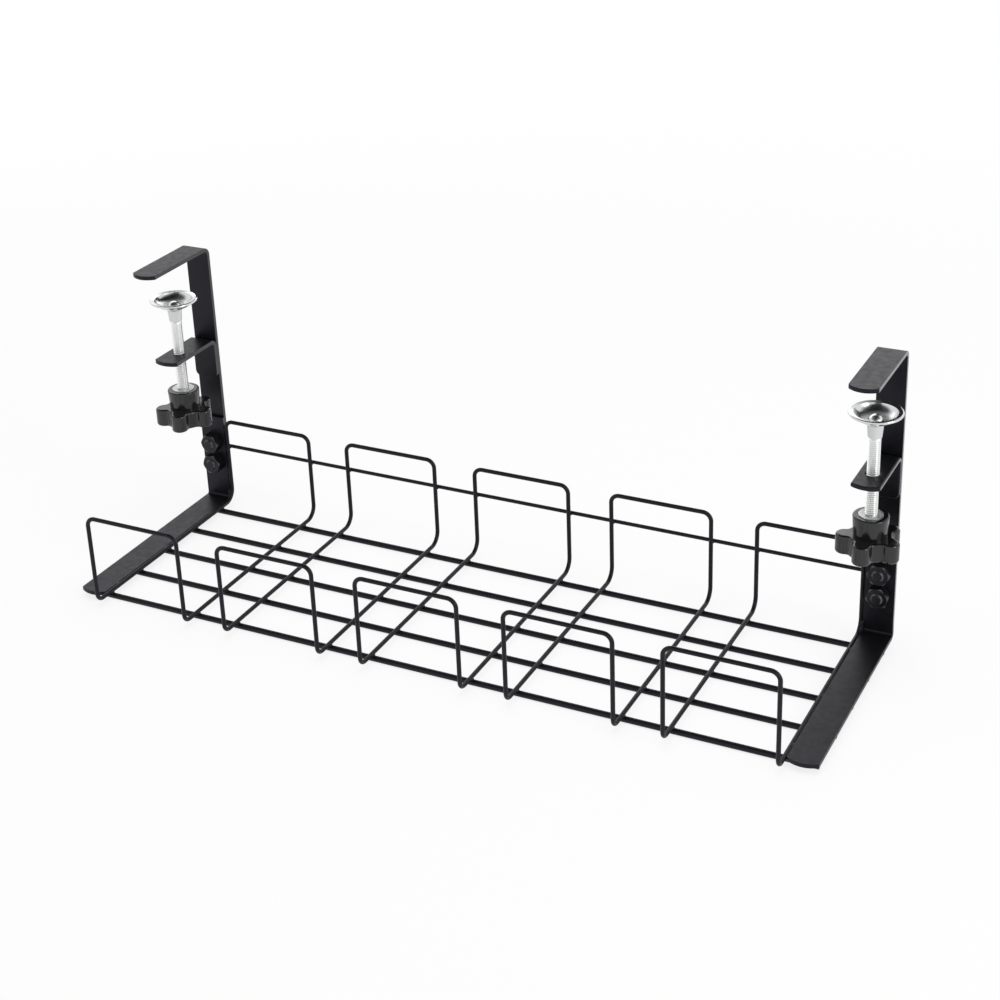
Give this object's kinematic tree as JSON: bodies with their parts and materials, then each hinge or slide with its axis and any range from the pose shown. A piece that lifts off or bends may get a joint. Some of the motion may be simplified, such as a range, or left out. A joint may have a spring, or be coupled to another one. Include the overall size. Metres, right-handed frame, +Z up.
{
  "type": "under-desk cable tray",
  "caption": "Clamp-on wire cable tray for the underside of a desk: bent wire basket on two flat arms, with hand-screw desk clamps.",
  "frame": {"origin": "middle of the outline seen from above, on the surface that the long wires stand on", "axes": "+X along the tray to the right seen from the open front, +Y from the front wall to the clamps, +Z up along the clamp screws"},
  "size_m": [0.414, 0.1326, 0.1553],
  "materials": {
    "black_powder_coat": "satin powder coat",
    "bright_zinc_plate": "bright zinc plate",
    "black_moulded_plastic": "fine moulded grain",
    "black_oxide_steel": "black oxide"
  },
  "bodies": {
    "tray_frame": {"cross_loop_1": "black_powder_coat", "cross_loop_2": "black_powder_coat", "cross_loop_3": "black_powder_coat", "cross_loop_4": "black_powder_coat", "cross_loop_5": "black_powder_coat", "long_wire_1": "black_powder_coat", "long_wire_2": "black_powder_coat", "long_wire_3": "black_powder_coat", "long_wire_4": "black_powder_coat", "long_wire_5": "black_powder_coat", "back_rail": "black_powder_coat", "left_arm": "black_powder_coat", "left_clamp_bracket": "black_powder_coat", "left_screw_tab": "black_powder_coat", "left_upper_bolt": "black_oxide_steel", "left_upper_nut": "black_oxide_steel", "left_lower_bolt": "black_oxide_steel", "left_lower_nut": "black_oxide_steel", "right_arm": "black_powder_coat", "right_clamp_bracket": "black_powder_coat", "right_screw_tab": "black_powder_coat", "right_upper_bolt": "black_oxide_steel", "right_upper_nut": "black_oxide_steel", "right_lower_bolt": "black_oxide_steel", "right_lower_nut": "black_oxide_steel"},
    "left_pad": {"left_swivel_pad": "bright_zinc_plate"},
    "left_screw": {"left_clamp_screw": "bright_zinc_plate", "left_knob_insert": "bright_zinc_plate", "left_star_knob": "black_moulded_plastic"},
    "right_pad": {"right_swivel_pad": "bright_zinc_plate"},
    "right_screw": {"right_clamp_screw": "bright_zinc_plate", "right_knob_insert": "bright_zinc_plate", "right_star_knob": "black_moulded_plastic"}
  },
  "joints": [
    {"name": "left_pad_lift", "type": "slide", "parent": "tray_frame", "child": "left_pad", "axis": [0, 0, 1], "range_m": [-0.0188, 0.0183]},
    {"name": "left_screw_turn", "type": "hinge", "parent": "left_pad", "child": "left_screw", "pos_m": [-0.1925, 0.0364, 0.13385], "axis": [0, 0, 1], "range_deg": [-6769, 6589]},
    {"name": "right_pad_lift", "type": "slide", "parent": "tray_frame", "child": "right_pad", "axis": [0, 0, 1], "range_m": [-0.0188, 0.0183]},
    {"name": "right_screw_turn", "type": "hinge", "parent": "right_pad", "child": "right_screw", "pos_m": [0.1925, 0.0364, 0.13385], "axis": [0, 0, 1], "range_deg": [-6769, 6589]}
  ],
  "couplings": [
    {"joint": "left_screw_turn", "follows": "left_pad_lift", "rad_per_m": 6283.2},
    {"joint": "right_screw_turn", "follows": "right_pad_lift", "rad_per_m": 6283.2}
  ]
}
